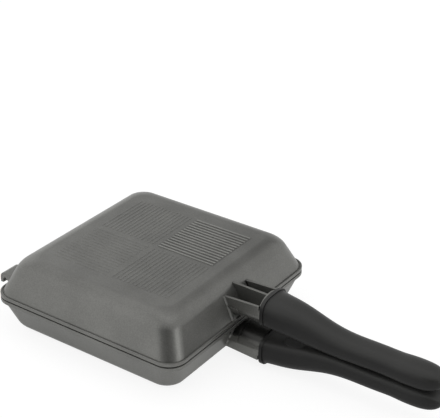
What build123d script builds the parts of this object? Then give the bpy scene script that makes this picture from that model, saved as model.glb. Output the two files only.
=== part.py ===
from build123d import *
from math import copysign, cos, pi, radians, sin, tan
import os

os.makedirs("parts", exist_ok=True)

# A double grill pan for camping, shown closed: a lid pan hinged on a base pan, with two pull-off handles.
# Millimetres. +X runs from the hinge to the handles, +Y across the pan and +Z up.
# The origin is the centre of the base pan's flat underside.
# "Side" is +1 for the lid and -1 for the base. Heights h are measured from the seam, away from it.

# Rims, where the two pans meet
pan_length = 193.4
pan_width = 200.0
rim_corner_r = 16.5
rim_height = 3.8
rim_step = 1.7
rim_width = 5.2
rim_edge_r = 0.7
seam_gap = 0.8
tongue_width = 1.2
tongue_height = 0.9
groove_clearance = 0.3

# Bowls of the pans
base_depth = 32.5
lid_depth = 34.5
base_draft = 20.5
lid_draft = 24.5
base_edge_r = 13.0
lid_edge_r = 17.5
corner_taper = 0.55
min_corner_r = 2.5
edge_steps = 6

# Ribs on top of the lid, in four square fields
top_rib_count = 15
top_rib_pitch = 4.0
top_rib_width = 1.7
top_rib_height = 0.5
top_rib_length = 57.0
top_field_gap = 6.0
rib_root = 0.4

# Inside the base: one walled corner, a ribbed griddle and its row of pegs
partition_thickness = 2.6
partition_below_seam = 1.2
partition_corner_r = 10.0
partition_x = -4.0
partition_y = 4.0
griddle_rib_count = 14
griddle_rib_pitch = 6.5
griddle_rib_width = 2.6
griddle_rib_height = 2.2
griddle_rib_length = 58.0
griddle_edge_in = 21.0
peg_length = 3.0
peg_height = 4.0
peg_from_partition = 9.5

# Cast tangs that carry the handles
tang_half_width = 16.8
tang_edge_h = 16.5
tang_arch_h = 4.2
tang_shell = 3.0
tang_web = 2.6
tang_side_root_h = 24.0
tang_side_end_h = 26.0
tang_centre_top_h = 28.7
tang_root_in = 22.7
tang_lip_out = 3.3
tang_lip_grow = 1.0
tang_flare_foot = 4.6
tang_flare_top = 1.6
collar_out = 22.0
collar_thickness = 2.0
collar_shoulder_h = 20.5
collar_top_h = 31.3

# The tang's plug, inside the handle
plug_width = 16.0
plug_height = 10.0
plug_centre_h = 15.5
plug_length = 32.0
plug_edge_r = 1.5
plug_clearance = 0.3
latch_groove_width = 7.0
latch_groove_depth = 2.0
latch_groove_start = 12.0

# Handle grips, with distances along them from the mouth
mouth_gap = 0.5
grip_length = 157.1
grip_face_h = 0.5
mouth_width = 34.4
mouth_face_h = 7.0
mouth_top_h = 31.3
lip_length = 3.0
lip_grow = 0.7
swell_at = 10.0
swell_width = 33.6
swell_face_h = 5.4
swell_top_h = 30.8
shoulder_at = 29.0
shoulder_width = 30.0
shoulder_face_h = 3.2
shoulder_top_h = 28.4
neck_at = 48.0
neck_width = 26.6
neck_face_h = 1.2
neck_top_h = 23.4
waist_width = 24.2
waist_top_h = 18.3
tail_before_end = 18.0
tail_width = 24.4
tail_top_h = 18.0
end_width = 25.0
end_top_h = 18.5
tip_length = 19.5
tip_fullness = 0.8
tip_angles = (28, 52, 70, 84)
section_points = 24
mouth_power = 3.0
back_power = 2.3
face_power = 4.0
finger_groove_width = 8.0
finger_groove_depth = 4.5
finger_groove_length = 66.0
finger_groove_at = 86.0
cut_over = 2.0

# Lock inside each handle: button, latch plate, spring, steel liner and magnet
liner_thickness = 0.8
liner_length = 13.5
liner_clearance = 0.05
socket_end_gap = 4.0
lock_at = 27.0
button_travel = 2.0
button_length = 20.0
button_width = 22.0
button_corner_r = 7.0
button_face_h = 4.2
button_height = 2.6
button_edge_r = 0.6
flange_extra = 1.2
flange_thickness = 1.0
slide_clearance = 0.25
plate_thickness = 1.5
plate_arm = 1.2
plate_bar = 1.4
plate_clearance = 0.5
tooth_width = 5.0
tooth_clearance = 0.3
spring_wire_d = 0.6
spring_mean_r = 2.1
spring_turns = 3
spring_length = 4.6
spring_pocket_r = 2.9
magnet_r = 5.0
magnet_thickness = 3.0
magnet_clearance = 0.05
magnet_sunk = 0.4
magnet_from_end = 17.0

# Hinges: steel pins in knuckles on the base, hooks on the lid
pin_r = 2.0
pin_clearance = 0.05
pin_out = 5.5
pin_h = 3.0
pin_length = 33.5
pin_recess = 2.5
hinge_from_side = 39.5
hook_clearance = 0.2
hook_wall = 3.2
hook_rise = 1.6
hook_leg = 3.2
knuckle_r = 4.6
knuckle_width = 10.0
knuckle_offset = 5.0
hinge_side_gap = 0.5
outer_hook_width = 17.5
arm_thickness = 5.0

seam_z = base_depth
rim_x = pan_length / 2
tang_root_x = rim_x - tang_root_in
collar_x = rim_x + collar_out
collar_end = collar_x + collar_thickness
grip_x = collar_end + mouth_gap
lock_x = grip_x + lock_at
plug_top_h = plug_centre_h + plug_height / 2
pin_x = -(rim_x + pin_out)
hinge_centre_y = pan_width / 2 - hinge_from_side
knuckle_centre_y = hinge_centre_y - knuckle_offset
outer_hook_y = knuckle_centre_y + knuckle_width / 2 + hinge_side_gap
inner_hook_width = pin_length + pin_recess - outer_hook_width - knuckle_width - 2 * hinge_side_gap
inner_hook_y = knuckle_centre_y - knuckle_width / 2 - hinge_side_gap - inner_hook_width


def facing(h, side):
    """A plane parallel to the seam, h away from it on one side, looking away from it."""
    return Plane(origin=(0, 0, seam_z + side * h), x_dir=(1, 0, 0), z_dir=(0, 0, side))


def across(x, side):
    """A plane across the handles: local x is the width and local y is the height from the seam."""
    return Plane(origin=(x, 0, seam_z), x_dir=(0, side, 0), z_dir=(1, 0, 0))


def along(y):
    """A plane along the pan at y: local x runs to the handles and local y is up from the seam."""
    return Plane(origin=(0, y, seam_z), x_dir=(1, 0, 0), z_dir=(0, -1, 0))


# Bowl shapes

def corner_radius(inset, thickness):
    """The outline's corner radius, which tightens towards the flat of the pan."""
    return max(rim_corner_r - thickness - corner_taper * (inset - thickness), min_corner_r)


def edge_centre(depth, draft, edge_r):
    """Height and inset of the centre that the wall's rounding turns about."""
    centre_h = depth - edge_r
    slope = tan(radians(draft))
    return centre_h, rim_step + slope * (centre_h - rim_height) + edge_r / cos(radians(draft))


def outline(h, inset, thickness, side):
    """The pan's outline at one height."""
    with BuildSketch(facing(h, side)) as level:
        RectangleRounded(pan_length - 2 * inset, pan_width - 2 * inset, corner_radius(inset, thickness))
    return level.sketch


def bowl(depth, draft, edge_r, thickness, side):
    """The drafted wall and rounded edge of a pan, taken in by a wall thickness for its inside."""
    centre_h, centre_inset = edge_centre(depth, draft, edge_r)
    arc_r = edge_r - thickness
    slope = tan(radians(draft))
    wall_end_h = centre_h + arc_r * sin(radians(draft))
    wall_end_inset = centre_inset - arc_r * cos(radians(draft))
    wall_start_inset = wall_end_inset - slope * (wall_end_h - rim_height)
    with BuildPart() as shape:
        outline_at_rim = outline(rim_height, wall_start_inset, thickness, side)
        outline_at_edge = outline(wall_end_h, wall_end_inset, thickness, side)
        loft(sections=[outline_at_rim, outline_at_edge])
        levels = []
        for step in range(edge_steps + 1):
            angle = radians(draft + (90 - draft) * step / edge_steps)
            h = centre_h + arc_r * sin(angle)
            levels.append(outline(h, centre_inset - arc_r * cos(angle), thickness, side))
        loft(sections=levels)
    return shape.part


def cavity(depth, draft, edge_r, side):
    """The inside of a pan, with its straight lip through the rim."""
    thickness = (rim_width - rim_step) * cos(radians(draft))
    with BuildPart() as shape:
        add(bowl(depth, draft, edge_r, thickness, side))
        with BuildSketch(facing(-seam_gap, side)):
            RectangleRounded(pan_length - 2 * rim_width, pan_width - 2 * rim_width,
                             corner_radius(rim_width, thickness))
        extrude(amount=rim_height + seam_gap)
    return shape.part


def rim(side):
    """The flat-faced rim band, with its outer edges softened."""
    with BuildPart() as band:
        with BuildSketch(facing(seam_gap / 2, side)):
            RectangleRounded(pan_length, pan_width, rim_corner_r)
        extrude(amount=rim_height - seam_gap / 2)
        ends = band.faces().filter_by(Axis.Z)
        fillet(ends.edges(), radius=rim_edge_r)
    return band.part


def rim_ring(width, height, start_h, side):
    """A ring along the middle of the rim's face, for the tongue and its groove."""
    middle = rim_width / 2
    with BuildPart() as ring:
        with BuildSketch(facing(start_h, side)):
            RectangleRounded(pan_length - 2 * middle + width, pan_width - 2 * middle + width,
                             rim_corner_r - middle + width / 2)
            RectangleRounded(pan_length - 2 * middle - width, pan_width - 2 * middle - width,
                             rim_corner_r - middle - width / 2, mode=Mode.SUBTRACT)
        extrude(amount=height)
    return ring.part


# Tangs

def collar(side):
    """The oval plate that the grip's mouth butts against, arched on both sides."""
    with BuildPart() as plate:
        with BuildSketch(across(collar_x, side)):
            with BuildLine():
                half = tang_half_width
                ThreePointArc((-half, tang_edge_h), (0, tang_arch_h), (half, tang_edge_h))
                Line((half, tang_edge_h), (half, collar_shoulder_h))
                ThreePointArc((half, collar_shoulder_h), (0, collar_top_h), (-half, collar_shoulder_h))
                Line((-half, collar_shoulder_h), (-half, tang_edge_h))
            make_face()
        extrude(amount=collar_thickness)
    return plate.part


def plug(side):
    """The bar that the grip slides onto, with a groove for the latch along its back."""
    with BuildPart() as bar:
        with BuildSketch(across(collar_end, side)):
            with Locations((0, plug_centre_h)):
                RectangleRounded(plug_width, plug_height, plug_edge_r)
        extrude(amount=plug_length)
        with BuildSketch(across(collar_end + latch_groove_start, side)):
            with Locations((0, plug_top_h - latch_groove_depth / 2)):
                Rectangle(latch_groove_width, latch_groove_depth)
        extrude(amount=plug_length - latch_groove_start, mode=Mode.SUBTRACT)
    return bar.part


def saddle(x, length, grow, side):
    """The arched shell that forms the tang's face towards the seam."""
    half = tang_half_width + grow
    inner = tang_half_width - tang_web
    with BuildPart() as shell:
        with BuildSketch(across(x, side)):
            with BuildLine():
                ThreePointArc((-half, tang_edge_h), (0, tang_arch_h - grow), (half, tang_edge_h))
                Line((half, tang_edge_h), (inner, tang_edge_h))
                ThreePointArc((inner, tang_edge_h), (0, tang_arch_h + tang_shell), (-inner, tang_edge_h))
                Line((-inner, tang_edge_h), (-half, tang_edge_h))
            make_face()
        extrude(amount=length)
    return shell.part


def root_flare(edge, draft, side):
    """A hollow flare that carries a side web into the drafted wall, wider towards the rim."""
    inner = tang_half_width - tang_web
    sections = []
    for h, flare in ((rim_height, tang_flare_foot), (tang_side_root_h, tang_flare_top)):
        wall_x = rim_x - rim_step - tan(radians(draft)) * (h - rim_height)
        end_x = wall_x + flare
        outer = tang_half_width + flare
        middle = flare * (1 - cos(pi / 4))
        with BuildSketch(facing(h, side)) as section:
            with BuildLine():
                Polyline((end_x, edge * tang_half_width), (end_x, edge * inner), (wall_x - rim_step, edge * inner),
                         (wall_x - rim_step, edge * outer), (wall_x, edge * outer))
                ThreePointArc((wall_x, edge * outer), (wall_x + middle, edge * (tang_half_width + middle)),
                              (end_x, edge * tang_half_width))
            make_face()
        sections.append(section.sketch)
    with BuildPart() as flared:
        loft(sections=sections)
    return flared.part


def tang(draft, side):
    """Saddle, three webs with two open pockets between them, collar and plug."""
    web_length = collar_x - tang_root_x
    centre_height = tang_centre_top_h - tang_arch_h - tang_shell / 2
    with BuildPart() as arm:
        add(saddle(tang_root_x, web_length, 0, side))
        add(saddle(tang_root_x, tang_root_in + tang_lip_out, tang_lip_grow, side))
        with BuildSketch(across(tang_root_x, side)):
            with Locations((0, tang_centre_top_h - centre_height / 2)):
                Rectangle(tang_web, centre_height)
        extrude(amount=web_length)
        for web_y in (tang_half_width, tang_web - tang_half_width):
            with BuildSketch(along(web_y)):
                with BuildLine():
                    Polyline((tang_root_x, side * tang_edge_h), (collar_x, side * tang_edge_h),
                             (collar_x, side * tang_side_end_h), (tang_root_x, side * tang_side_root_h), close=True)
                make_face()
            extrude(amount=tang_web)
        add(root_flare(1, draft, side))
        add(root_flare(-1, draft, side))
        add(collar(side))
        add(plug(side))
    return arm.part


# Base pan

base_cavity = cavity(base_depth, base_draft, base_edge_r, -1)
base_floor_h = base_depth - (rim_width - rim_step) * cos(radians(base_draft))

with BuildPart() as base_partition:
    reach_x = rim_x - partition_x
    reach_y = partition_y + pan_width / 2
    with BuildSketch(facing(partition_below_seam, -1)):
        with Locations((partition_x + reach_x, -(partition_y - reach_y))):
            RectangleRounded(2 * reach_x + partition_thickness, 2 * reach_y + partition_thickness,
                             partition_corner_r + partition_thickness / 2)
            RectangleRounded(2 * reach_x - partition_thickness, 2 * reach_y - partition_thickness,
                             partition_corner_r - partition_thickness / 2, mode=Mode.SUBTRACT)
    extrude(amount=base_depth - partition_below_seam)
    add(base_cavity, mode=Mode.INTERSECT)

with BuildPart() as base_pan:
    add(rim(-1))
    add(bowl(base_depth, base_draft, base_edge_r, 0, -1))
    add(tang(base_draft, -1))
    for edge in (-1, 1):
        with BuildSketch(along(edge * knuckle_centre_y + knuckle_width / 2)):
            with Locations((pin_x, pin_h)):
                Circle(knuckle_r)
            with BuildLine():
                arm_end_x = -rim_x + rim_width
                Polyline((pin_x - knuckle_r, pin_h), (pin_x + knuckle_r, pin_h),
                         (-rim_x - rim_edge_r, -seam_gap / 2), (arm_end_x, -seam_gap / 2),
                         (arm_end_x, -arm_thickness), (pin_x, pin_h - knuckle_r), close=True)
            make_face()
        extrude(amount=knuckle_width)
        with BuildSketch(along(edge * knuckle_centre_y + knuckle_width / 2)):
            with Locations((pin_x, pin_h)):
                Circle(pin_r + pin_clearance)
        extrude(amount=knuckle_width, mode=Mode.SUBTRACT)
    add(base_cavity, mode=Mode.SUBTRACT)
    add(base_partition.part)
    griddle_x = rim_x - griddle_edge_in - griddle_rib_pitch * (griddle_rib_count - 1) / 2
    griddle_y = pan_width / 2 - griddle_edge_in - griddle_rib_length / 2
    with BuildSketch(facing(base_floor_h + rib_root, -1)):
        with Locations((griddle_x, -griddle_y)):
            with GridLocations(griddle_rib_pitch, 0, griddle_rib_count, 1):
                SlotOverall(griddle_rib_length, griddle_rib_width, rotation=90)
    extrude(amount=-(griddle_rib_height + rib_root))
    with BuildSketch(facing(base_floor_h + rib_root, -1)):
        with Locations((griddle_x, -(partition_y + peg_from_partition))):
            with GridLocations(griddle_rib_pitch, 0, griddle_rib_count, 1):
                Rectangle(griddle_rib_width, peg_length)
    extrude(amount=-(peg_height + rib_root))
    add(rim_ring(tongue_width + 2 * groove_clearance, tongue_height + groove_clearance, seam_gap / 2, -1),
        mode=Mode.SUBTRACT)
base_pan.part.label = "base_pan"
export_step(base_pan.part, "parts/base_pan.step")


# Lid pan

lid_cavity = cavity(lid_depth, lid_draft, lid_edge_r, 1)


def hook(y_low, width):
    """A hook on the lid's rear wall that hangs over the hinge pin, open downwards."""
    inner_r = pin_r + hook_clearance
    outer_r = inner_r + hook_wall
    crown_h = pin_h + hook_rise
    root_x = -rim_x + rim_width
    with BuildPart() as claw:
        with BuildSketch(along(y_low + width)):
            with BuildLine():
                Line((pin_x - inner_r, pin_h - hook_leg), (pin_x - outer_r, pin_h - hook_leg))
                Line((pin_x - outer_r, pin_h - hook_leg), (pin_x - outer_r, crown_h))
                ThreePointArc((pin_x - outer_r, crown_h),
                              (pin_x - outer_r * sin(pi / 4), crown_h + outer_r * cos(pi / 4)),
                              (pin_x, crown_h + outer_r))
                Polyline((pin_x, crown_h + outer_r), (root_x, crown_h + outer_r), (root_x, rim_height / 2),
                         (-rim_x - rim_edge_r, rim_height / 2), (-rim_x - rim_edge_r, pin_h),
                         (pin_x + inner_r, pin_h))
                ThreePointArc((pin_x + inner_r, pin_h), (pin_x, pin_h + inner_r), (pin_x - inner_r, pin_h))
                Line((pin_x - inner_r, pin_h), (pin_x - inner_r, pin_h - hook_leg))
            make_face()
        extrude(amount=width)
    return claw.part


with BuildPart() as lid_pan:
    add(rim(1))
    add(bowl(lid_depth, lid_draft, lid_edge_r, 0, 1))
    add(tang(lid_draft, 1))
    add(hook(outer_hook_y, outer_hook_width))
    add(hook(inner_hook_y, inner_hook_width))
    add(hook(-outer_hook_y - outer_hook_width, outer_hook_width))
    add(hook(-inner_hook_y - inner_hook_width, inner_hook_width))
    add(lid_cavity, mode=Mode.SUBTRACT)
    field_centre = (top_field_gap + top_rib_length) / 2
    for field_x, field_y in ((1, 1), (-1, -1), (-1, 1), (1, -1)):
        with BuildSketch(facing(lid_depth - rib_root, 1)):
            with Locations((field_x * field_centre, field_y * field_centre)):
                if field_x == field_y:
                    with GridLocations(0, top_rib_pitch, 1, top_rib_count):
                        Rectangle(top_rib_length, top_rib_width)
                else:
                    with GridLocations(top_rib_pitch, 0, top_rib_count, 1):
                        Rectangle(top_rib_width, top_rib_length)
        extrude(amount=top_rib_height + rib_root)
    add(rim_ring(tongue_width, tongue_height + seam_gap, -tongue_height, 1))
lid_pan.part.label = "lid_pan"
export_step(lid_pan.part, "parts/lid_pan.step")


# Hinge pins

for edge, name in ((-1, "hinge_pin_right"), (1, "hinge_pin_left")):
    pin_end_y = outer_hook_y + outer_hook_width - pin_recess
    pin_start_y = edge * (pin_end_y - pin_length / 2) + pin_length / 2
    with BuildPart() as hinge_pin:
        with BuildSketch(along(pin_start_y)):
            with Locations((pin_x, pin_h)):
                Circle(pin_r)
        extrude(amount=pin_length)
        chamfer(hinge_pin.edges().filter_by(GeomType.CIRCLE), length=pin_r / 5)
    hinge_pin.part.label = name
    export_step(hinge_pin.part, "parts/" + name + ".step")


# Handles

def grip_section(at, width, face_h, top_h, side, roundness=back_power):
    """One section of a grip: an oval, squarer on the face towards the seam than on its back."""
    centre_h = (face_h + top_h) / 2
    half_height = (top_h - face_h) / 2
    points = []
    for step in range(section_points):
        angle = 2 * pi * step / section_points
        power = roundness if sin(angle) > 0 else face_power
        sideways = copysign(abs(cos(angle)) ** (2 / power), cos(angle))
        upwards = copysign(abs(sin(angle)) ** (2 / power), sin(angle))
        points.append((width / 2 * sideways, centre_h + half_height * upwards))
    with BuildSketch(across(grip_x + at, side)) as section:
        with BuildLine():
            Spline(*points, periodic=True)
        make_face()
    return section.sketch


def grip_body(side):
    """The solid form of a grip: deep at the lipped mouth, slim along the middle, rounded at its tip."""
    end_at = grip_length - tip_length
    tail_at = end_at - tail_before_end
    waist_at = (neck_at + tail_at) / 2
    sections = [
        grip_section(0, mouth_width, mouth_face_h, mouth_top_h, side, mouth_power),
        grip_section(swell_at, swell_width, swell_face_h, swell_top_h, side),
        grip_section(shoulder_at, shoulder_width, shoulder_face_h, shoulder_top_h, side),
        grip_section(neck_at, neck_width, neck_face_h, neck_top_h, side),
        grip_section(waist_at, waist_width, grip_face_h, waist_top_h, side),
        grip_section(tail_at, tail_width, grip_face_h, tail_top_h, side),
        grip_section(end_at, end_width, grip_face_h, end_top_h, side),
    ]
    centre_h = (grip_face_h + end_top_h) / 2
    half_height = (end_top_h - grip_face_h) / 2
    for angle in tip_angles:
        at = end_at + tip_length * sin(radians(angle)) / sin(radians(tip_angles[-1]))
        share = cos(radians(angle)) ** tip_fullness
        sections.append(grip_section(at, end_width * share, centre_h - half_height * share,
                                     centre_h + half_height * share, side))
    lip_section = grip_section(0, mouth_width + 2 * lip_grow, mouth_face_h - lip_grow, mouth_top_h + lip_grow,
                               side, mouth_power)
    with BuildPart() as body:
        loft(sections=sections)
        extrude(lip_section, amount=lip_length)
    return body.part


button_back_h = button_face_h + button_height
flange_h = button_back_h - flange_thickness
window_top_h = plug_top_h + plate_clearance
plate_top_h = window_top_h + plate_bar
plate_half_width = plug_width / 2 + plate_clearance + plate_arm
liner_grow = 2 * (plug_clearance + liner_thickness)
magnet_x = grip_x + grip_length - magnet_from_end
magnet_face_h = grip_face_h + magnet_sunk

for side, pan in ((-1, "base"), (1, "lid")):
    with BuildPart() as grip:
        add(grip_body(side))
        # Socket for the plug, wider where the steel liner sits
        with BuildSketch(across(grip_x, side)):
            with Locations((0, plug_centre_h)):
                RectangleRounded(plug_width + 2 * plug_clearance, plug_height + 2 * plug_clearance,
                                 plug_edge_r + plug_clearance)
        extrude(amount=plug_length - mouth_gap + socket_end_gap, mode=Mode.SUBTRACT)
        with BuildSketch(across(grip_x, side)):
            with Locations((0, plug_centre_h)):
                RectangleRounded(plug_width + liner_grow + 2 * liner_clearance,
                                 plug_height + liner_grow + 2 * liner_clearance,
                                 plug_edge_r + liner_grow / 2 + liner_clearance)
        extrude(amount=liner_length + liner_clearance, mode=Mode.SUBTRACT)
        # The button's hole and the room behind it
        with BuildSketch(facing(flange_h, side)):
            with Locations((lock_x, 0)):
                RectangleRounded(button_length + 2 * slide_clearance, button_width + 2 * slide_clearance,
                                 button_corner_r + slide_clearance)
        extrude(amount=-(flange_h + cut_over), mode=Mode.SUBTRACT)
        with BuildSketch(facing(flange_h, side)):
            with Locations((lock_x, 0)):
                RectangleRounded(button_length + 2 * (flange_extra + slide_clearance),
                                 button_width + 2 * (flange_extra + slide_clearance),
                                 button_corner_r + flange_extra + slide_clearance)
        extrude(amount=flange_thickness + button_travel + slide_clearance, mode=Mode.SUBTRACT)
        # Room for the latch plate and its spring
        with BuildSketch(facing(button_back_h, side)):
            with Locations((lock_x, 0)):
                Rectangle(plate_thickness + 2 * slide_clearance, 2 * (plate_half_width + slide_clearance))
        extrude(amount=plate_top_h + button_travel + slide_clearance - button_back_h, mode=Mode.SUBTRACT)
        with BuildSketch(facing(plate_top_h, side)):
            with Locations((lock_x, 0)):
                Circle(spring_pocket_r)
        extrude(amount=spring_length, mode=Mode.SUBTRACT)
        # Finger groove and magnet pocket
        with BuildSketch(facing(grip_face_h + finger_groove_depth, side)):
            with Locations((grip_x + finger_groove_at, 0)):
                SlotOverall(finger_groove_length, finger_groove_width)
        extrude(amount=-(finger_groove_depth + cut_over), mode=Mode.SUBTRACT)
        with BuildSketch(facing(magnet_face_h + magnet_thickness, side)):
            with Locations((magnet_x, 0)):
                Circle(magnet_r + magnet_clearance)
        extrude(amount=-(magnet_thickness + cut_over), mode=Mode.SUBTRACT)
    grip.part.label = pan + "_handle_grip"
    export_step(grip.part, "parts/" + grip.part.label + ".step")

    with BuildPart() as liner:
        with BuildSketch(across(grip_x, side)):
            with Locations((0, plug_centre_h)):
                RectangleRounded(plug_width + liner_grow, plug_height + liner_grow,
                                 plug_edge_r + liner_grow / 2)
                RectangleRounded(plug_width + 2 * plug_clearance, plug_height + 2 * plug_clearance,
                                 plug_edge_r + plug_clearance, mode=Mode.SUBTRACT)
        extrude(amount=liner_length)
    liner.part.label = pan + "_socket_liner"
    export_step(liner.part, "parts/" + liner.part.label + ".step")

    with BuildPart() as button:
        with BuildSketch(facing(button_face_h, side)):
            with Locations((lock_x, 0)):
                RectangleRounded(button_length, button_width, button_corner_r)
        extrude(amount=button_height)
        face = button.faces().sort_by(Axis.Z)[0 if side > 0 else -1]
        fillet(face.edges(), radius=button_edge_r)
        with BuildSketch(facing(flange_h, side)):
            with Locations((lock_x, 0)):
                RectangleRounded(button_length + 2 * flange_extra, button_width + 2 * flange_extra,
                                 button_corner_r + flange_extra)
        extrude(amount=flange_thickness)
    button.part.label = pan + "_release_button"
    export_step(button.part, "parts/" + button.part.label + ".step")

    with BuildPart() as latch_plate:
        with BuildSketch(across(lock_x - plate_thickness / 2, side)):
            plate_height = plate_top_h - button_back_h
            window_height = window_top_h - button_back_h - plate_bar
            tooth_tip_h = plug_top_h - latch_groove_depth + tooth_clearance
            tooth_height = window_top_h - tooth_tip_h
            with Locations((0, button_back_h + plate_height / 2)):
                Rectangle(2 * plate_half_width, plate_height)
            with Locations((0, window_top_h - window_height / 2)):
                Rectangle(plug_width + 2 * plate_clearance, window_height, mode=Mode.SUBTRACT)
            with Locations((0, tooth_tip_h + tooth_height / 2)):
                Rectangle(tooth_width, tooth_height)
        extrude(amount=plate_thickness)
    latch_plate.part.label = pan + "_latch_plate"
    export_step(latch_plate.part, "parts/" + latch_plate.part.label + ".step")

    coil_height = spring_length - spring_wire_d
    coil_pitch = coil_height / spring_turns
    coil_base = seam_z + side * (plate_top_h + spring_wire_d / 2)
    with BuildPart() as latch_spring:
        with BuildLine():
            coil = Helix(coil_pitch, coil_height, spring_mean_r, center=(lock_x, 0, coil_base),
                         direction=(0, 0, side))
        with BuildSketch(Plane(origin=coil @ 0, z_dir=coil % 0)):
            Circle(spring_wire_d / 2)
        sweep(path=coil, is_frenet=True)
    latch_spring.part.label = pan + "_latch_spring"
    export_step(latch_spring.part, "parts/" + latch_spring.part.label + ".step")

    with BuildPart() as magnet:
        with BuildSketch(facing(magnet_face_h, side)):
            with Locations((magnet_x, 0)):
                Circle(magnet_r)
        extrude(amount=magnet_thickness)
    magnet.part.label = pan + "_grip_magnet"
    export_step(magnet.part, "parts/" + magnet.part.label + ".step")

print("closed pan:", pan_length, "x", pan_width, "x", base_depth + lid_depth + top_rib_height)
print("grips end at x =", grip_x + grip_length)
print("spring: gap between turns", coil_pitch - spring_wire_d)
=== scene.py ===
from math import asin, cos, degrees, radians, sin, tan

import bmesh
import bpy
from mathutils import Euler, Matrix, Vector


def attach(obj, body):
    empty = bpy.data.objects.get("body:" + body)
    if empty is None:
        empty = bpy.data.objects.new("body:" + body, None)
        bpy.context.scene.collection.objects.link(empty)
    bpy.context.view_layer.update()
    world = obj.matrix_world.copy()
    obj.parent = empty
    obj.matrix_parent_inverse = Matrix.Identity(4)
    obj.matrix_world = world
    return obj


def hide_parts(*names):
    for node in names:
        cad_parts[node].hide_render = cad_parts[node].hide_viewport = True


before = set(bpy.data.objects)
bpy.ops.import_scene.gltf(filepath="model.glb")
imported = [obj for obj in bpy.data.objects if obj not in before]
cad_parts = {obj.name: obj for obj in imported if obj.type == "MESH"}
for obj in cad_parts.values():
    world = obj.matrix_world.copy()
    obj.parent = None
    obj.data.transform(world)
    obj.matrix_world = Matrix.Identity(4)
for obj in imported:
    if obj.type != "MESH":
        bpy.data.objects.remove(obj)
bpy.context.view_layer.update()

MM = 0.001

# Sizes in millimetres and drafts in degrees, the same as in the part's source. Heights h are measured from
# the seam, up in the lid and down in the base.
PAN_LENGTH = 193.4
PAN_WIDTH = 200.0
RIM_CORNER_R = 16.5
RIM_HEIGHT = 3.8
RIM_STEP = 1.7
RIM_WIDTH = 5.2
TONGUE_WIDTH = 1.2
TONGUE_HEIGHT = 0.9
GROOVE_CLEARANCE = 0.3
BASE_DEPTH = 32.5
LID_DEPTH = 34.5
BASE_DRAFT = 20.5
LID_DRAFT = 24.5
BASE_EDGE_R = 13.0
LID_EDGE_R = 17.5
MIN_CORNER_R = 2.5
TOP_RIB_COUNT = 15
TOP_RIB_PITCH = 4.0
TOP_RIB_WIDTH = 1.7
TOP_RIB_HEIGHT = 0.5
TOP_RIB_LENGTH = 57.0
TOP_FIELD_GAP = 6.0
RIB_ROOT = 0.4
PARTITION_THICKNESS = 2.6
PARTITION_BELOW_SEAM = 1.2
PARTITION_CORNER_R = 10.0
PARTITION_X = -4.0
PARTITION_Y = 4.0
GRIDDLE_RIB_COUNT = 14
GRIDDLE_RIB_PITCH = 6.5
GRIDDLE_RIB_WIDTH = 2.6
GRIDDLE_RIB_HEIGHT = 2.2
GRIDDLE_RIB_LENGTH = 58.0
GRIDDLE_EDGE_IN = 21.0
PEG_LENGTH = 3.0
PEG_HEIGHT = 4.0
PEG_FROM_PARTITION = 9.5
TANG_HALF_WIDTH = 16.8
TANG_EDGE_H = 16.5
TANG_ARCH_H = 4.2
TANG_SHELL = 3.0
TANG_WEB = 2.6
TANG_SIDE_ROOT_H = 24.0
TANG_SIDE_END_H = 26.0
TANG_CENTRE_TOP_H = 28.7
TANG_ROOT_IN = 22.7
TANG_LIP_OUT = 3.3
TANG_LIP_GROW = 1.0
COLLAR_OUT = 22.0
COLLAR_THICKNESS = 2.0
COLLAR_SHOULDER_H = 20.5
COLLAR_TOP_H = 31.3
PLUG_WIDTH = 16.0
PLUG_HEIGHT = 10.0
PLUG_CENTRE_H = 15.5
PLUG_LENGTH = 32.0
PLUG_EDGE_R = 1.5
LATCH_GROOVE_WIDTH = 7.0
LATCH_GROOVE_DEPTH = 2.0
LATCH_GROOVE_START = 12.0
PIN_R = 2.0
PIN_OUT = 5.5
PIN_H = 3.0
HOOK_CLEARANCE = 0.2
HOOK_WALL = 3.2
HOOK_RISE = 1.6
HOOK_LEG = 3.2
KNUCKLE_R = 4.6
KNUCKLE_WIDTH = 10.0
KNUCKLE_CENTRE_Y = 55.5
OUTER_HOOK_Y = 61.0
OUTER_HOOK_WIDTH = 17.5
INNER_HOOK_Y = 42.5
INNER_HOOK_WIDTH = 7.5
ARM_THICKNESS = 5.0
SEAM_Z = BASE_DEPTH
RIM_X = PAN_LENGTH / 2
TANG_ROOT_X = RIM_X - TANG_ROOT_IN
COLLAR_X = RIM_X + COLLAR_OUT
COLLAR_END = COLLAR_X + COLLAR_THICKNESS
PIN_X = -(RIM_X + PIN_OUT)

# Sizes in millimetres that the part's source has otherwise or not at all. The taper is a share of the inset.
SEAM_GAP = 1.1
RIM_EDGE_R = 0.4
LIP_EDGE_R = 0.4
STEP_GROOVE = 0.6
CORNER_TAPER = 0.12
TOP_RIB_LOW = 0.24
TANG_FLARE_FOOT = 1.9
TANG_FLARE_TOP = 1.5
KNUCKLE_ARM_DROP = 0.2

# Roundings of edges, in millimetres
TOP_RIB_EDGE_R = 0.28
SADDLE_EDGE_R = 0.3
SADDLE_LIP_EDGE_R = 0.4
WEB_EDGE_R = 0.6
COLLAR_EDGE_R = 0.6
PLUG_TIP_EDGE_R = 0.5
KNUCKLE_EDGE_R = 0.5
HOOK_EDGE_R = 0.45
GRIDDLE_EDGE_R = 0.5
PARTITION_EDGE_R = 0.6

# How far one form runs into the next, in millimetres
TANG_INTO_WALL = 1.6
WEB_INTO_SADDLE = 0.3
PLUG_INTO_COLLAR = 1.0
PARTITION_INTO_WALL = 1.0


# Shader maths

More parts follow.
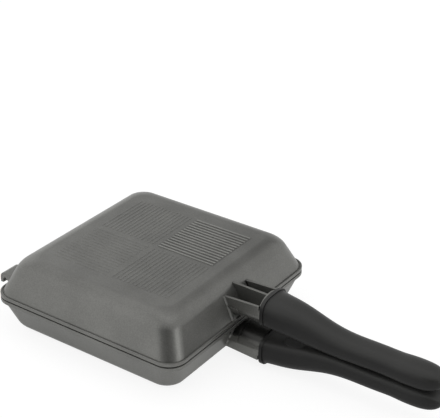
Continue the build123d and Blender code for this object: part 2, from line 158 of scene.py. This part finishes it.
class Value:
    """A shader socket that Python arithmetic works on."""

    def __init__(self, finish, socket):
        self.finish = finish
        self.socket = socket

    def maths(self, operation, *inputs):
        return self.finish.node("ShaderNodeMath", {"operation": operation}, *inputs)

    def __add__(self, other):
        return self.maths("ADD", self, other)

    def __sub__(self, other):
        return self.maths("SUBTRACT", self, other)

    def __rsub__(self, other):
        return self.maths("SUBTRACT", other, self)

    def __mul__(self, other):
        return self.maths("MULTIPLY", self, other)

    __radd__ = __add__
    __rmul__ = __mul__


class Finish:
    """A material, or the world, built from nodes."""

    def __init__(self, owner):
        owner.use_nodes = True
        self.tree = owner.node_tree
        self.tree.nodes.clear()

    def node(self, kind, settings=None, *inputs, out=0, **named):
        """Adds a node, makes its settings, then fills its sockets in order and by name."""
        made = self.tree.nodes.new(kind)
        for key, value in (settings or {}).items():
            if key == "stops":
                ramp = made.color_ramp
                while len(ramp.elements) < len(value):
                    ramp.elements.new(1.0)
                for element, (place, colour) in zip(ramp.elements, value):
                    element.position = place
                    element.color = colour
            else:
                setattr(made, key, value)
        for index, value in enumerate(inputs):
            self.fill(made.inputs[index], value)
        for name, value in named.items():
            self.fill(made.inputs[name.replace("_", " ")], value)
        return Value(self, made.outputs[out]) if len(made.outputs) else None

    def fill(self, socket, value):
        """Links a value to a socket, or writes a number, a colour or a vector into it."""
        if isinstance(value, Value):
            self.tree.links.new(value.socket, socket)
        else:
            socket.default_value = value

    def noise(self, place, scale, detail):
        return self.node("ShaderNodeTexNoise", Vector=place, Scale=scale, Detail=detail)

    def slope(self, value, start, end, before, after, kind="LINEAR"):
        """A number that goes from before to after while the value goes from start to end."""
        return self.node("ShaderNodeMapRange", {"interpolation_type": kind}, value, start, end, before, after)

    def within(self, place, axis, low, high, soft):
        """1 between two places in millimetres along an axis, falling to 0 over a soft width outside."""
        value = self.node("ShaderNodeSeparateXYZ", Vector=place, out=axis)
        rise = self.slope(value, (low - soft) * MM, low * MM, 0.0, 1.0)
        fall = self.slope(value, high * MM, (high + soft) * MM, 1.0, 0.0)
        return rise * fall

    def scaled(self, colour, factor):
        """A colour times a number."""
        return self.node("ShaderNodeVectorMath", {"operation": "SCALE"}, colour, Scale=factor)


def shade(level, warmth=0.0):
    """A grey, a little warmer where warmth is above 0."""
    return (level * (1 + warmth), level * (1 + warmth), level * (1 - warmth), 1)


# Finishes, some with painted light and shade. Roughness is the lowest value, and spread is what the pattern
# adds to it at most.

COATING_TONES = [(0.38, shade(0.172, 0.03)), (0.62, shade(0.222, 0.03))]
# Painted shade on the lower tang, between these heights below the seam
SHADED_FROM_H = 12.5
SHADED_FULLY_H = 9.5
# Soft edges of the high rib field, where the painted shade and painted highlight lie
FIELD_FADE = 1.5
FIELD_FADE_UP = 0.1
FIELD_TOP = 5
PLASTIC_WARMTH = 0.02
# Where the plastic turns from its side tone to the paler tone of faces that point up, which is painted light
FACING_SIDE = 0.1
FACING_UP = 0.7


def pan_coating(name, roughness=0.3, spread=0.12, seam_painted_shade=1.0, field_painted_light=1.0):
    """Dark grey non-stick coating on cast aluminium, satin, with a fine pebble.

    The seam level is the share of the colour that is left near the seam, on the lower tang: painted shade.
    The field level scales the colour in the high rib field: painted shade on the lid's ground there and a
    painted highlight on its ribs."""
    material = bpy.data.materials.new(name)
    finish = Finish(material)
    place = finish.node("ShaderNodeTexCoord", out="Object")
    pebble = finish.noise(place, scale=900.0, detail=2.0)
    cloud = finish.noise(place, scale=28.0, detail=3.0)
    colour = finish.node("ShaderNodeValToRGB", {"stops": COATING_TONES}, cloud * 0.5 + pebble * 0.5)
    # Painted shade: the colour darkens towards the seam.
    if seam_painted_shade != 1:
        height = finish.node("ShaderNodeSeparateXYZ", Vector=place, out="Z")
        share = finish.slope(height, (SEAM_Z - SHADED_FROM_H) * MM, (SEAM_Z - SHADED_FULLY_H) * MM,
                             1.0, seam_painted_shade, "SMOOTHSTEP")
        colour = finish.scaled(colour, share)
    # Painted light and shade in the high rib field: a level below 1 darkens the colour there, above 1
    # brightens it.
    if field_painted_light != 1:
        edge = TOP_FIELD_GAP / 2
        top = SEAM_Z + LID_DEPTH
        field = (finish.within(place, "X", edge, edge + TOP_RIB_LENGTH, FIELD_FADE)
                 * finish.within(place, "Y", edge, edge + TOP_RIB_LENGTH, FIELD_FADE)
                 * finish.within(place, "Z", top - FIELD_FADE_UP, top + FIELD_TOP, FIELD_FADE_UP))
        colour = finish.scaled(colour, 1 + (field_painted_light - 1) * field)
    bump = finish.node("ShaderNodeBump", Strength=0.12, Distance=0.0002, Height=pebble)
    surface = finish.node("ShaderNodeBsdfPrincipled", Base_Color=colour, Metallic=0.6,
                          Roughness=roughness + cloud * spread, Normal=bump)
    finish.node("ShaderNodeOutputMaterial", Surface=surface)
    return material


def moulded_plastic(name, side_level, top_level_painted_light, roughness, spread=0.12):
    """Moulded plastic, satin, with a fine spark-eroded grain.

    It is paler where it faces up with the pan closed: painted light."""
    material = bpy.data.materials.new(name)
    finish = Finish(material)
    place = finish.node("ShaderNodeTexCoord", out="Object")
    grain = finish.noise(place, scale=1400.0, detail=2.0)
    cloud = finish.noise(place, scale=45.0, detail=3.0)
    bump = finish.node("ShaderNodeBump", Strength=0.2, Distance=0.0001, Height=grain)
    normal = finish.node("ShaderNodeTexCoord", out="Normal")
    facing = finish.node("ShaderNodeSeparateXYZ", Vector=normal, out="Z")
    tones = [(FACING_SIDE, shade(side_level, PLASTIC_WARMTH)), (FACING_UP, shade(top_level_painted_light, PLASTIC_WARMTH))]
    # Painted light: paler from the sides to the faces that point up.
    colour = finish.node("ShaderNodeValToRGB", {"stops": tones}, facing)
    surface = finish.node("ShaderNodeBsdfPrincipled", Base_Color=colour, Specular_IOR_Level=0.28,
                          Roughness=roughness + cloud * spread, Normal=bump)
    finish.node("ShaderNodeOutputMaterial", Surface=surface)
    return material


def worked_steel(name, tone, roughness, spread=0.2):
    """Drawn, stamped or plated steel with fine scratches."""
    material = bpy.data.materials.new(name)
    finish = Finish(material)
    place = finish.node("ShaderNodeTexCoord", out="Object")
    scratch = finish.noise(place, scale=600.0, detail=4.0)
    surface = finish.node("ShaderNodeBsdfPrincipled", Base_Color=tone, Metallic=1.0,
                          Roughness=roughness + scratch * spread)
    finish.node("ShaderNodeOutputMaterial", Surface=surface)
    return material


coating = pan_coating("pan_coating_finish")
# Painted shade: the lid's ground in the high rib field is darker.
lid_coating_with_painted_shade = pan_coating("lid_coating_painted_shade_finish", field_painted_light=0.7)
# Painted highlight: the ribs of the high field are brighter.
rib_coating_with_painted_highlight = pan_coating("rib_coating_painted_highlight_finish", field_painted_light=1.6)
# Painted shade: the lower tang darkens towards the seam.
tang_coating_with_painted_shade = pan_coating("tang_coating_painted_shade_finish", roughness=0.22, spread=0.1, seam_painted_shade=0.22)
pin_steel = worked_steel("pin_steel_finish", shade(0.3), roughness=0.25)

# The finish of each solid goes by the last word of its name.
finishes = {
    "pan": coating,
    # Painted light: the grips and the button are paler where they face up.
    "grip": moulded_plastic("grip_plastic_painted_light_finish", side_level=0.0105, top_level_painted_light=0.044, roughness=0.38),
    "button": moulded_plastic("button_plastic_painted_light_finish", side_level=0.03, top_level_painted_light=0.06, roughness=0.45),
    "liner": worked_steel("liner_steel_finish", shade(0.6), roughness=0.25),
    "plate": worked_steel("latch_steel_finish", shade(0.55), roughness=0.2),
    "spring": worked_steel("spring_steel_finish", shade(0.5), roughness=0.15),
    "magnet": worked_steel("nickel_plating_finish", shade(0.66, 0.04), roughness=0.08),
    "left": pin_steel,
    "right": pin_steel,
}
for name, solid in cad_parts.items():
    for holder in solid.material_slots:
        holder.material = finishes[name.split("_")[-1]]


# Mesh helpers. Meshes are made in millimetres and scaled to metres when they are finished.

CORNER_SEGMENTS = 10
ARC_SEGMENTS = 12
BOW_SEGMENTS = 24
FLARE_SEGMENTS = 8
BOWL_EDGE_STEPS = 12
RIM_EDGE_STEPS = 4
SOFT_SEGMENTS = 2
TOP_RIB_EDGE_SEGMENTS = 3
SOFTEN_ABOVE = 30
SHADE_SHARP_ABOVE = 38


def arc(centre_u, centre_v, radius, start, end, count=ARC_SEGMENTS):
    """Points along an arc, with angles in degrees."""
    angles = (radians(start + (end - start) * step / count) for step in range(count + 1))
    return [(centre_u + radius * cos(angle), centre_v + radius * sin(angle)) for angle in angles]


def bow(half, edge_v, middle_v):
    """Points along the arc from (-half, edge_v) through (0, middle_v) to (half, edge_v)."""
    rise = middle_v - edge_v
    radius = (half ** 2 + rise ** 2) / (2 * abs(rise))
    sense = 1 if rise > 0 else -1
    spread = degrees(asin(half / radius))
    return arc(0, middle_v - sense * radius, radius, sense * (90 + spread), sense * (90 - spread),
               BOW_SEGMENTS)


def level(bm, length, width, radius, z, centre=(0, 0)):
    """A flat rounded rectangle, as one face."""
    place = Matrix.Translation((centre[0], centre[1], z)) @ Matrix.Diagonal((length, width, 1, 1))
    corners = bmesh.ops.create_grid(bm, x_segments=1, y_segments=1, size=0.5, matrix=place)["verts"]
    made = bmesh.ops.bevel(bm, geom=corners, offset=radius, offset_type="OFFSET", segments=CORNER_SEGMENTS,
                           profile=0.5, affect="VERTICES", material=-1)
    return made["verts"][0].link_faces[0]


def skin(bm, faces):
    """Joins a row of flat faces into one closed body, corner to corner. The outer two stay as its ends."""
    rings = [face.verts[:] for face in faces]
    bmesh.ops.delete(bm, geom=faces[1:-1], context="FACES_ONLY")
    for ring, following in zip(rings, rings[1:]):
        for near in range(len(ring)):
            bm.faces.new((ring[near - 1], ring[near], following[near], following[near - 1]))


def flat(bm, points):
    """A flat face through points in space, in their order."""
    return bm.faces.new([bm.verts.new(point) for point in points])


def soften(bm, edges, radius, segments):
    """Rounds edges."""
    bmesh.ops.bevel(bm, geom=edges, offset=radius, offset_type="OFFSET", segments=segments, profile=0.5,
                    affect="EDGES", clamp_overlap=True, material=-1)


def edges_at(verts):
    """The edges that meet at some vertices, each once."""
    return list(dict.fromkeys(edge for vert in verts for edge in vert.link_edges))


def thicken(bm, face, travel, edge_r):
    """Extrudes a face into a closed bar and rounds its sharp edges."""
    made = bmesh.ops.extrude_face_region(bm, geom=[face], use_keep_orig=True)["geom"]
    far = [item for item in made if isinstance(item, bmesh.types.BMVert)]
    bmesh.ops.translate(bm, verts=far, vec=travel)
    edges = edges_at(far + face.verts[:])
    faces = list(dict.fromkeys(near for edge in edges for near in edge.link_faces))
    bmesh.ops.recalc_face_normals(bm, faces=faces)
    sharp = [edge for edge in edges if edge.calc_face_angle(0) > radians(SOFTEN_ABOVE)]
    soften(bm, sharp, edge_r, SOFT_SEGMENTS)


def across(bm, side, x, length, outline, edge_r):
    """A bar along X from an outline given as (y, h). Side is 1 for the lid and -1 for the base."""
    face = flat(bm, [(x, y, SEAM_Z + side * h) for y, h in outline])
    thicken(bm, face, (length, 0, 0), edge_r)


def along(bm, y, width, outline, edge_r):
    """A bar along Y from an outline given as (x, height above the seam)."""
    face = flat(bm, [(x, y, SEAM_Z + height) for x, height in outline])
    thicken(bm, face, (0, width, 0), edge_r)


def piece(name, bm, body, slot, material, *replaced):
    """Finishes a mesh as a piece that moves with a body."""
    bmesh.ops.recalc_face_normals(bm, faces=bm.faces)
    bmesh.ops.scale(bm, vec=(MM, MM, MM), verts=bm.verts)
    mesh = bpy.data.meshes.new(name)
    bm.to_mesh(mesh)
    bm.free()
    mesh.shade_smooth()
    mesh.set_sharp_from_angle(angle=radians(SHADE_SHARP_ABOVE))
    mesh.materials.append(material)
    made = bpy.data.objects.new(name, mesh)
    bpy.context.scene.collection.objects.link(made)
    normals = made.modifiers.new("normals", "WEIGHTED_NORMAL")
    normals.keep_sharp = True
    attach(made, body)
    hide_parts(*replaced)


# Shells of the two pans

def wall_thickness(draft):
    """Thickness of a bowl's wall, square to its face."""
    return (RIM_WIDTH - RIM_STEP) * cos(radians(draft))


def corner_radius(inset, thickness):
    """Corner radius of a ring inside the rim's outline. It shrinks slowly with the inset."""
    return max(RIM_CORNER_R - thickness - CORNER_TAPER * (inset - thickness), MIN_CORNER_R)


def edge_levels(depth, draft, edge_r, thickness):
    """Heights, insets and corner radii down the rounded edge of a bowl, from its flat to its wall."""
    centre_h = depth - edge_r
    centre_inset = RIM_STEP + tan(radians(draft)) * (centre_h - RIM_HEIGHT) + edge_r / cos(radians(draft))
    levels = []
    for step in range(BOWL_EDGE_STEPS + 1):
        angle = radians(90 - (90 - draft) * step / BOWL_EDGE_STEPS)
        inset = centre_inset - (edge_r - thickness) * cos(angle)
        levels.append((centre_h + (edge_r - thickness) * sin(angle), inset, corner_radius(inset, thickness)))
    return levels


def rounding(h, inset, start, end):
    """Heights, insets and corner radii round one edge of the rim, with angles in degrees."""
    rows = []
    for step in range(RIM_EDGE_STEPS + 1):
        angle = radians(start + (end - start) * step / RIM_EDGE_STEPS)
        out = RIM_EDGE_R * cos(angle)
        rows.append((h + RIM_EDGE_R * sin(angle), inset - out, RIM_CORNER_R - inset + out))
    return rows


def pan_shell(bm, side, depth, draft, edge_r):
    """The bowl, its rim with a tongue or a groove, and its inside, as one closed skin."""
    thickness = wall_thickness(draft)
    face_h = SEAM_GAP / 2
    groove_h = RIM_HEIGHT - STEP_GROOVE
    groove_inset = RIM_STEP - STEP_GROOVE
    rows = edge_levels(depth, draft, edge_r, 0)
    for h, inset in ((groove_h, RIM_STEP), (groove_h, groove_inset), (RIM_HEIGHT, groove_inset)):
        rows.append((h, inset, corner_radius(inset, 0)))
    rows += rounding(RIM_HEIGHT - RIM_EDGE_R, RIM_EDGE_R, 90, 0)
    rows += rounding(face_h + RIM_EDGE_R, RIM_EDGE_R, 0, -90)
    middle = RIM_WIDTH / 2
    half = TONGUE_WIDTH / 2 if side > 0 else TONGUE_WIDTH / 2 + GROOVE_CLEARANCE
    tip = -TONGUE_HEIGHT if side > 0 else face_h + TONGUE_HEIGHT + GROOVE_CLEARANCE
    for h, inset in ((face_h, middle - half), (tip, middle - half), (tip, middle + half),
                     (face_h, middle + half), (face_h, RIM_WIDTH - LIP_EDGE_R),
                     (face_h + LIP_EDGE_R, RIM_WIDTH)):
        rows.append((h, inset, RIM_CORNER_R - inset))
    rows.append((RIM_HEIGHT, RIM_WIDTH, corner_radius(RIM_WIDTH, thickness)))
    rows += reversed(edge_levels(depth, draft, edge_r, thickness))
    skin(bm, [level(bm, PAN_LENGTH - 2 * inset, PAN_WIDTH - 2 * inset, radius, SEAM_Z + side * h)
              for h, inset, radius in rows])


# Tangs

def arch_band(grow):
    """The saddle's section: a half tube, as (y, h)."""
    outer = bow(TANG_HALF_WIDTH + grow, TANG_EDGE_H, TANG_ARCH_H - grow)
    inner = bow(TANG_HALF_WIDTH - TANG_WEB, TANG_EDGE_H, TANG_ARCH_H + TANG_SHELL)
    return outer + inner[::-1]


def root_flare(bm, face_y, edge, draft, side):
    """A hollow flare that carries one face of a web into the drafted wall, wider towards the rim."""
    rows = []
    for h, flare in ((RIM_HEIGHT, TANG_FLARE_FOOT), (TANG_SIDE_ROOT_H, TANG_FLARE_TOP)):
        wall_x = RIM_X - RIM_STEP - tan(radians(draft)) * (h - RIM_HEIGHT)
        hollow = arc(wall_x + flare, face_y + flare, flare, 180, 270, FLARE_SEGMENTS)
        outline = [(wall_x + flare, face_y - TANG_WEB), (wall_x - RIM_STEP, face_y - TANG_WEB),
                   (wall_x - RIM_STEP, face_y + flare)] + hollow
        rows.append(flat(bm, [(x, edge * y, SEAM_Z + side * h) for x, y in outline]))
    skin(bm, rows)


def plug(bm, side):
    """The plug that carries the grip. The latch's groove in it is open to the tip."""
    half_width, half_height = PLUG_WIDTH / 2, PLUG_HEIGHT / 2
    low, high = PLUG_CENTRE_H - half_height, PLUG_CENTRE_H + half_height
    whole = [(-half_width, low), (half_width, low), (half_width, high), (-half_width, high)]
    across(bm, side, COLLAR_END - PLUG_INTO_COLLAR, LATCH_GROOVE_START + PLUG_INTO_COLLAR, whole, PLUG_EDGE_R)
    groove = LATCH_GROOVE_WIDTH / 2
    floor_h = high - LATCH_GROOVE_DEPTH
    notched = whole[:3] + [(groove, high), (groove, floor_h), (-groove, floor_h), (-groove, high), whole[3]]
    across(bm, side, COLLAR_END + LATCH_GROOVE_START - PLUG_EDGE_R,
           PLUG_LENGTH - LATCH_GROOVE_START + PLUG_EDGE_R, notched, PLUG_TIP_EDGE_R)


def tang(bm, draft, side):
    """Saddle, webs, root flares, collar and plug, ending inside the wall's thickness.

    It is made first in a mesh, because its last lines move every vertex that stands too far in."""
    web_end = COLLAR_X + COLLAR_THICKNESS / 2
    reach = web_end - TANG_ROOT_X
    across(bm, side, TANG_ROOT_X, reach, arch_band(0), SADDLE_EDGE_R)
    across(bm, side, TANG_ROOT_X, TANG_ROOT_IN + TANG_LIP_OUT, arch_band(TANG_LIP_GROW), SADDLE_LIP_EDGE_R)
    half = TANG_WEB / 2
    foot_h = TANG_ARCH_H + TANG_SHELL / 2
    middle_web = [(-half, foot_h), (half, foot_h), (half, TANG_CENTRE_TOP_H), (-half, TANG_CENTRE_TOP_H)]
    across(bm, side, TANG_ROOT_X, reach, middle_web, WEB_EDGE_R)
    side_foot_h = TANG_EDGE_H - WEB_INTO_SADDLE
    side_web = [(TANG_ROOT_X, side * side_foot_h), (web_end, side * side_foot_h),
                (web_end, side * TANG_SIDE_END_H), (TANG_ROOT_X, side * TANG_SIDE_ROOT_H)]
    for low in (-TANG_HALF_WIDTH, TANG_HALF_WIDTH - TANG_WEB):
        along(bm, low, TANG_WEB, side_web, WEB_EDGE_R)
    for face_y in (TANG_HALF_WIDTH, half):
        for edge in (1, -1):
            root_flare(bm, face_y, edge, draft, side)
    collar = (bow(TANG_HALF_WIDTH, TANG_EDGE_H, TANG_ARCH_H)
              + bow(TANG_HALF_WIDTH, COLLAR_SHOULDER_H, COLLAR_TOP_H)[::-1])
    across(bm, side, COLLAR_X, COLLAR_THICKNESS, collar, COLLAR_EDGE_R)
    plug(bm, side)
    for vert in bm.verts:
        above_rim = max(side * (vert.co.z - SEAM_Z) - RIM_HEIGHT, 0)
        wall_x = RIM_X - RIM_STEP - TANG_INTO_WALL - tan(radians(draft)) * above_rim
        vert.co.x = max(vert.co.x, wall_x)


# Hinge

KNUCKLE_CORNER = 40


def base_knuckles(bm):
    """Eyes that hold the hinge pins, each on an arm from the base's rim."""
    arm_end = -RIM_X + RIM_WIDTH / 2
    arm_top = -SEAM_GAP / 2 - KNUCKLE_ARM_DROP
    corner = radians(KNUCKLE_CORNER)
    outline = arc(PIN_X, PIN_H, KNUCKLE_R, 0, 180) + [
        (PIN_X - KNUCKLE_R * cos(corner), PIN_H - KNUCKLE_R * sin(corner)),
        (PIN_X, PIN_H - KNUCKLE_R), (arm_end, -ARM_THICKNESS), (arm_end, arm_top),
        (-RIM_X - RIM_EDGE_R, arm_top)]
    for edge in (-1, 1):
        along(bm, edge * KNUCKLE_CENTRE_Y - KNUCKLE_WIDTH / 2, KNUCKLE_WIDTH, outline, KNUCKLE_EDGE_R)


def lid_hooks(bm):
    """Hooks that hang over the pins, open downwards."""
    inner_r = PIN_R + HOOK_CLEARANCE
    outer_r = inner_r + HOOK_WALL
    crown = PIN_H + HOOK_RISE
    root_x = -RIM_X + RIM_WIDTH / 2
    face_x = -RIM_X - RIM_EDGE_R
    outline = ([(PIN_X - inner_r, PIN_H - HOOK_LEG), (PIN_X - outer_r, PIN_H - HOOK_LEG)]
               + arc(PIN_X, crown, outer_r, 180, 90)
               + [(root_x, crown + outer_r), (root_x, RIM_HEIGHT / 2), (face_x, RIM_HEIGHT / 2),
                  (face_x, PIN_H)]
               + arc(PIN_X, PIN_H, inner_r, 0, 180))
    for low, width in ((OUTER_HOOK_Y, OUTER_HOOK_WIDTH), (INNER_HOOK_Y, INNER_HOOK_WIDTH)):
        along(bm, low, width, outline, HOOK_EDGE_R)
        along(bm, -low - width, width, outline, HOOK_EDGE_R)


# Ribs, pegs and the inner wall

FLAT_TOLERANCE = 0.01
END_LEFT_FLAT = 0.01
PEG_CORNER_R = 0.5
ROUND_MIDDLE = 0.3


def top_ribs(bm):
    """Four fields of fine ribs on the lid, turned like a pinwheel, one of them higher than the others.

    Edges whose middle is above the flat are rounded: the top ones, and the upright ones of the high field."""
    centre = (TOP_FIELD_GAP + TOP_RIB_LENGTH) / 2
    top = SEAM_Z + LID_DEPTH
    for field_x in (-1, 1):
        for field_y in (-1, 1):
            root = RIB_ROOT + (TOP_RIB_HEIGHT if field_x == field_y == 1 else TOP_RIB_LOW)
            lengthwise = field_x == field_y
            size = (TOP_RIB_LENGTH, TOP_RIB_WIDTH) if lengthwise else (TOP_RIB_WIDTH, TOP_RIB_LENGTH)
            for count in range(TOP_RIB_COUNT):
                offset = (count - (TOP_RIB_COUNT - 1) / 2) * TOP_RIB_PITCH
                shift = (0, offset) if lengthwise else (offset, 0)
                spot = (field_x * centre + shift[0], field_y * centre + shift[1], top - RIB_ROOT + root / 2)
                place = Matrix.Translation(spot) @ Matrix.Diagonal((*size, root, 1))
                verts = bmesh.ops.create_cube(bm, size=1, matrix=place)["verts"]
                upper = [edge for edge in edges_at(verts)
                         if sum(vert.co.z for vert in edge.verts) / 2 > top - FLAT_TOLERANCE]
                soften(bm, upper, TOP_RIB_EDGE_R, TOP_RIB_EDGE_SEGMENTS)


def griddle(bm):
    """The base's griddle ribs and the row of pegs beside them."""
    x0 = RIM_X - GRIDDLE_EDGE_IN - GRIDDLE_RIB_PITCH * (GRIDDLE_RIB_COUNT - 1)
    y = PAN_WIDTH / 2 - GRIDDLE_EDGE_IN - GRIDDLE_RIB_LENGTH / 2
    peg_y = PARTITION_Y + PEG_FROM_PARTITION
    root_z = SEAM_Z - (BASE_DEPTH - wall_thickness(BASE_DRAFT)) - RIB_ROOT
    end_r = GRIDDLE_RIB_WIDTH / 2 - END_LEFT_FLAT
    for count in range(GRIDDLE_RIB_COUNT):
        x = x0 + count * GRIDDLE_RIB_PITCH
        rib = level(bm, GRIDDLE_RIB_WIDTH, GRIDDLE_RIB_LENGTH, end_r, root_z, (x, y))
        thicken(bm, rib, (0, 0, GRIDDLE_RIB_HEIGHT + RIB_ROOT), GRIDDLE_EDGE_R)
        peg = level(bm, GRIDDLE_RIB_WIDTH, PEG_LENGTH, PEG_CORNER_R, root_z, (x, peg_y))
        thicken(bm, peg, (0, 0, PEG_HEIGHT + RIB_ROOT), GRIDDLE_EDGE_R)


def partition(bm):
    """The wall round the base's corner compartment, its ends let into the drafted wall."""
    top = PARTITION_BELOW_SEAM
    half = PARTITION_THICKNESS / 2
    middle = PARTITION_EDGE_R * ROUND_MIDDLE
    rows = [(top, RIM_WIDTH, half - PARTITION_EDGE_R), (top + middle, RIM_WIDTH, half - middle),
            (top + PARTITION_EDGE_R, RIM_WIDTH, half), (RIM_HEIGHT, RIM_WIDTH, half)]
    inside = edge_levels(BASE_DEPTH, BASE_DRAFT, BASE_EDGE_R, wall_thickness(BASE_DRAFT))
    rows += [(h, inset, half) for h, inset, radius in reversed(inside)]
    turn_x, turn_y = PARTITION_X + PARTITION_CORNER_R, PARTITION_Y - PARTITION_CORNER_R
    faces = []
    for h, inset, wide in rows:
        end_x = RIM_X - inset + PARTITION_INTO_WALL
        end_y = -(PAN_WIDTH / 2 - inset + PARTITION_INTO_WALL)
        outer = arc(turn_x, turn_y, PARTITION_CORNER_R + wide, 180, 90)
        inner = arc(turn_x, turn_y, PARTITION_CORNER_R - wide, 90, 180)
        points = ([(PARTITION_X - wide, end_y)] + outer
                  + [(end_x, PARTITION_Y + wide), (end_x, PARTITION_Y - wide)]
                  + inner + [(PARTITION_X + wide, end_y)])
        faces.append(flat(bm, [(x, y, SEAM_Z - h) for x, y in points]))
    skin(bm, faces)


# Pieces

lid = bmesh.new()
tang(lid, LID_DRAFT, 1)
pan_shell(lid, 1, LID_DEPTH, LID_DRAFT, LID_EDGE_R)
lid_hooks(lid)
piece("lid_casting", lid, "lid", "pan_coating", lid_coating_with_painted_shade, "lid_pan")

ribs = bmesh.new()
top_ribs(ribs)
piece("lid_ribs", ribs, "lid", "pan_coating", rib_coating_with_painted_highlight, "lid_pan")

base = bmesh.new()
pan_shell(base, -1, BASE_DEPTH, BASE_DRAFT, BASE_EDGE_R)
base_knuckles(base)
piece("base_casting", base, "base", "pan_coating", coating, "base_pan")

base_tang = bmesh.new()
tang(base_tang, BASE_DRAFT, -1)
piece("base_tang", base_tang, "base", "pan_coating", tang_coating_with_painted_shade, "base_pan")

inside = bmesh.new()
griddle(inside)
partition(inside)
piece("base_inside", inside, "base", "pan_coating", coating, "base_pan")


# Camera and lamp. Azimuth 0 is from the -Y side and 90 from the handles' side.

IMAGE_WIDTH = 440
SENSOR = 36.0
FOCAL_PIXELS = 1235.42
CAMERA_AT = Vector((574.01, -722.71, 594.47)) * MM
CAMERA_AZIMUTH = 34.92
CAMERA_ELEVATION = 28.05
CAMERA_ROLL = 0.46
CLIP_START = 0.01
CLIP_END = 50
SOFTBOX_AZIMUTH = 180
SOFTBOX_ELEVATION = 75
SOFTBOX_DISTANCE = 1.6
SOFTBOX_SIZE = 1.6
SOFTBOX_WATTS = 3
SOFTBOX_AIM = (0.05, 0, 0.03)


def looking_from(azimuth, elevation):
    """The turn of a camera or lamp that looks at the pan from a direction."""
    return Euler((radians(90 - elevation), 0, radians(azimuth))).to_matrix().to_4x4()


camera_data = bpy.data.cameras.new("camera")
camera_data.sensor_width = SENSOR
camera_data.lens = FOCAL_PIXELS / IMAGE_WIDTH * SENSOR
camera_data.clip_start = CLIP_START
camera_data.clip_end = CLIP_END
camera = bpy.data.objects.new("camera", camera_data)
camera.matrix_world = (Matrix.Translation(CAMERA_AT) @ looking_from(CAMERA_AZIMUTH, CAMERA_ELEVATION)
                       @ Matrix.Rotation(radians(CAMERA_ROLL), 4, "Z"))
bpy.context.scene.collection.objects.link(camera)
bpy.context.scene.camera = camera

softbox_data = bpy.data.lights.new("top_softbox", "AREA")
softbox_data.shape = "RECTANGLE"
softbox_data.size = SOFTBOX_SIZE
softbox_data.size_y = SOFTBOX_SIZE
softbox_data.energy = SOFTBOX_WATTS
softbox = bpy.data.objects.new("top_softbox", softbox_data)
softbox.matrix_world = (Matrix.Translation(SOFTBOX_AIM) @ looking_from(SOFTBOX_AZIMUTH, SOFTBOX_ELEVATION)
                        @ Matrix.Translation((0, 0, SOFTBOX_DISTANCE)))
bpy.context.scene.collection.objects.link(softbox)


# World: a pale tent with darker and brighter patches. The camera itself sees white.

TENT_LEVEL = 0.74
BACKDROP_LEVEL = 1.0

world = bpy.data.worlds.new("studio")
bpy.context.scene.world = world
studio = Finish(world)
view = studio.node("ShaderNodeTexCoord")


def patch(change, azimuth, elevation, full, none):
    """A change of level within the full angle from a direction, falling smoothly to 0 at the none angle."""
    turn, rise = radians(azimuth), radians(elevation)
    centre = (sin(turn) * cos(rise), -cos(turn) * cos(rise), sin(rise))
    facing = studio.node("ShaderNodeVectorMath", {"operation": "DOT_PRODUCT"}, view, centre, out="Value")
    return change * studio.slope(facing, cos(radians(none)), cos(radians(full)), 0.0, 1.0, "SMOOTHSTEP")


# In order: low on the camera's side, beyond the handles, left of the camera, high behind the pan, and beyond
# the hinge.
tent = (TENT_LEVEL
        - patch(0.73, azimuth=33, elevation=12, full=27, none=50)
        + patch(1.9, azimuth=92, elevation=14, full=5, none=16)
        + patch(0.3, azimuth=-40, elevation=10, full=15, none=60)
        - patch(0.58, azimuth=195, elevation=45, full=5, none=35)
        + patch(0.4, azimuth=245, elevation=15, full=5, none=35))
to_camera = studio.node("ShaderNodeLightPath", out="Is Camera Ray")
ambient = studio.node("ShaderNodeBackground", Color=shade(1), Strength=tent)
backdrop = studio.node("ShaderNodeBackground", Color=shade(1), Strength=BACKDROP_LEVEL)
surround = studio.node("ShaderNodeMixShader", None, to_camera, ambient, backdrop)
studio.node("ShaderNodeOutputWorld", Surface=surround)


# Floor: matt, and darker but glowing where the camera sees it, so that it looks nearly white and keeps
# the shadow.

FLOOR_SIZE = 12
FLOOR_TONE = 0.65
FLOOR_TONE_SEEN = 0.22
FLOOR_GLOW_SEEN = 0.87
FLOOR_GLOW_MIRRORED = 0.44

floor_data = bpy.data.meshes.new("floor")
sheet = bmesh.new()
bmesh.ops.create_grid(sheet, x_segments=1, y_segments=1, size=FLOOR_SIZE)
sheet.to_mesh(floor_data)
sheet.free()
floor = bpy.data.objects.new("floor", floor_data)
bpy.context.scene.collection.objects.link(floor)
floor_material = bpy.data.materials.new("floor_white")
sweep = Finish(floor_material)
seen = sweep.node("ShaderNodeLightPath", out="Is Camera Ray")
mirrored = sweep.node("ShaderNodeLightPath", out="Is Glossy Ray")
matt = sweep.node("ShaderNodeBsdfDiffuse", Color=shade(FLOOR_TONE))
matt_seen = sweep.node("ShaderNodeBsdfDiffuse", Color=shade(FLOOR_TONE_SEEN))
glow = sweep.node("ShaderNodeEmission", Color=shade(1),
                  Strength=seen * FLOOR_GLOW_SEEN + mirrored * FLOOR_GLOW_MIRRORED)
cover = sweep.node("ShaderNodeMixShader", None, seen, matt, matt_seen)
sweep.node("ShaderNodeOutputMaterial", Surface=sweep.node("ShaderNodeAddShader", None, cover, glow))
floor_data.materials.append(floor_material)

bpy.context.scene.view_settings.view_transform = "Standard"
